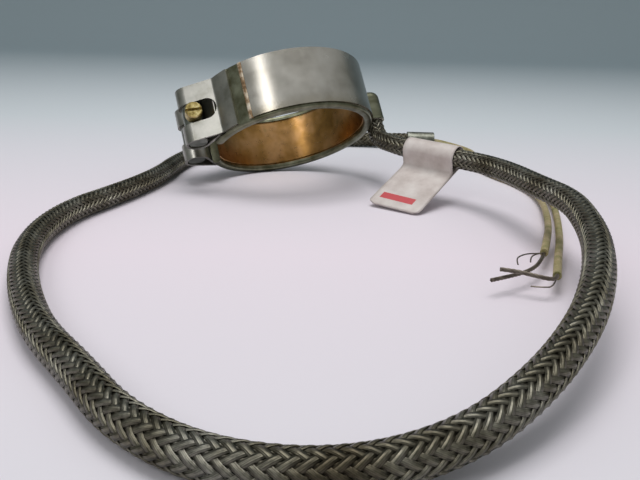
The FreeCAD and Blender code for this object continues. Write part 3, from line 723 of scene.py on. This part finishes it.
def makeLabel():
    axis = (labelTo - labelFrom).normalized()
    fall = (labelFall - axis * labelFall.dot(axis)).normalized()
    up = fall.cross(axis)
    if up.z < 0:
        up = -up
    middle = (labelFrom + labelTo) / 2
    columns = labelSizes["columns"]
    corner = labelSizes["corner"]
    points, faces, places = [], [], []
    for along, above, share in labelProfile():
        depth = max(0.0, corner - (labelSizes["flap"] - along))
        half = labelSizes["width"] / 2 - (corner - math.sqrt(max(corner ** 2 - depth ** 2, 0.0)))
        for column in range(columns + 1):
            across = (2 * column / columns - 1) * half
            points.append((middle + axis * across + fall * along + up * above) * mm)
            places.append((column / columns, share))
    rows = len(points) // (columns + 1)
    for row in range(rows - 1):
        for column in range(columns):
            low = row * (columns + 1) + column
            faces.append((low, low + 1, low + columns + 2, low + columns + 1))
    thing = meshPiece("foldedLabel", points, faces)
    layer = thing.data.uv_layers.new(name="UVMap")
    for loop in thing.data.loops:
        layer.data[loop.index].uv = places[loop.vertex_index]
    thing.data.materials.append(finish["label"])
    applyModifier(thing, "SOLIDIFY", thickness=labelSizes["ply"] * mm, offset=0.0)
    return thing


label = makeLabel()
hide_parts("label")
print("label made")

for piece, slotName in ((wovenBraid, "steel_braid"), (braidCore, "steel_braid"), (leadA, "glass_sleeving"),
                        (leadB, "glass_sleeving"), (strandsA, "bare_wire"), (strandsB, "bare_wire"),
                        (label, "label_stock")):
    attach(piece, "heater")
for wire in strayWires["A"] + strayWires["B"]:
    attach(wire, "heater")

# floor, light and camera
def sweepFloor():
    profile = [(-1.2, 0.0), (1.1, 0.0)]
    profile += [(1.1 + 0.5 * math.sin(math.radians(a)), 0.5 - 0.5 * math.cos(math.radians(a)))
                for a in range(10, 91, 10)]
    profile.append((1.6, 1.6))
    points = [(x, y, z - 0.0001) for y, z in profile for x in (-2.2, 2.2)]
    faces = [(2 * row, 2 * row + 1, 2 * row + 3, 2 * row + 2) for row in range(len(profile) - 1)]
    thing = meshPiece("sweepFloor", points, faces)
    material, tree, shader = newMaterial("paleTable")
    split = addNode(tree, "ShaderNodeSeparateXYZ", inputs={0: objectCoords(tree)})
    far = addNode(tree, "ShaderNodeMapRange", inputs={
        "Value": split.outputs[1], "From Min": -0.25, "From Max": 1.0}).outputs[0]
    # painted light: the table colour is brighter in the middle and darker towards the back, a painted pool
    # of light with its falloff
    tree.links.new(ramp(tree, far, [(0.0, "dad8de"), (0.12, "e9dde6"), (0.35, "d3d8dd"), (1.0, "abb9c0")]),
                   shader.inputs["Base Color"])
    shader.inputs["Roughness"].default_value = 0.6
    thing.data.materials.append(material)


def softLamp(name, place, target, width, depth, power):
    lamp = bpy.data.lights.new(name, "AREA")
    lamp.shape = "RECTANGLE"
    lamp.size = width
    lamp.size_y = depth
    lamp.energy = power
    thing = bpy.data.objects.new(name, lamp)
    thing.location = place
    thing.rotation_euler = (Vector(target) - Vector(place)).to_track_quat("-Z", "Y").to_euler()
    bpy.context.scene.collection.objects.link(thing)


def skyLight():
    world = bpy.data.worlds.new("softRoom")
    bpy.context.scene.world = world
    world.use_nodes = True
    tree = world.node_tree
    tree.nodes.clear()
    direction = addNode(tree, "ShaderNodeTexCoord").outputs["Generated"]
    height = addNode(tree, "ShaderNodeSeparateXYZ", inputs={0: direction}).outputs[2]
    colour = ramp(tree, height, [(0.0, "5d6259"), (0.25, "8b918c"), (0.7, "cdd1d2")])
    back = addNode(tree, "ShaderNodeBackground", inputs={"Color": colour, "Strength": 0.8})
    addNode(tree, "ShaderNodeOutputWorld", inputs={"Surface": back.outputs[0]})


sweepFloor()
skyLight()
softLamp("overhead", (0.02, -0.02, 0.8), (0.0, -0.03, 0.0), 0.5, 0.5, 3.6)
softLamp("frontStrip", (-0.3, -0.5, 0.45), (0.0, 0.0, 0.03), 0.12, 0.3, 0.6)

cameraSizes = {"place": (0.0184, -0.3031, 0.06863), "lens": 39.375, "sensor": 36.0,
               "pitch": 17.49, "roll": 1.56}
camera = bpy.data.cameras.new("mainCamera")
camera.lens = cameraSizes["lens"]
camera.sensor_width = cameraSizes["sensor"]
camera.clip_start = 0.01
cameraObject = bpy.data.objects.new("mainCamera", camera)
bpy.context.scene.collection.objects.link(cameraObject)
cameraObject.matrix_world = (Matrix.Translation(cameraSizes["place"])
                             @ Matrix.Rotation(math.radians(90 - cameraSizes["pitch"]), 4, "X")
                             @ Matrix.Rotation(math.radians(cameraSizes["roll"]), 4, "Z"))
bpy.context.scene.camera = cameraObject
bpy.context.scene.view_settings.view_transform = "Standard"
print("stage set")

bpy.context.view_layer.update()
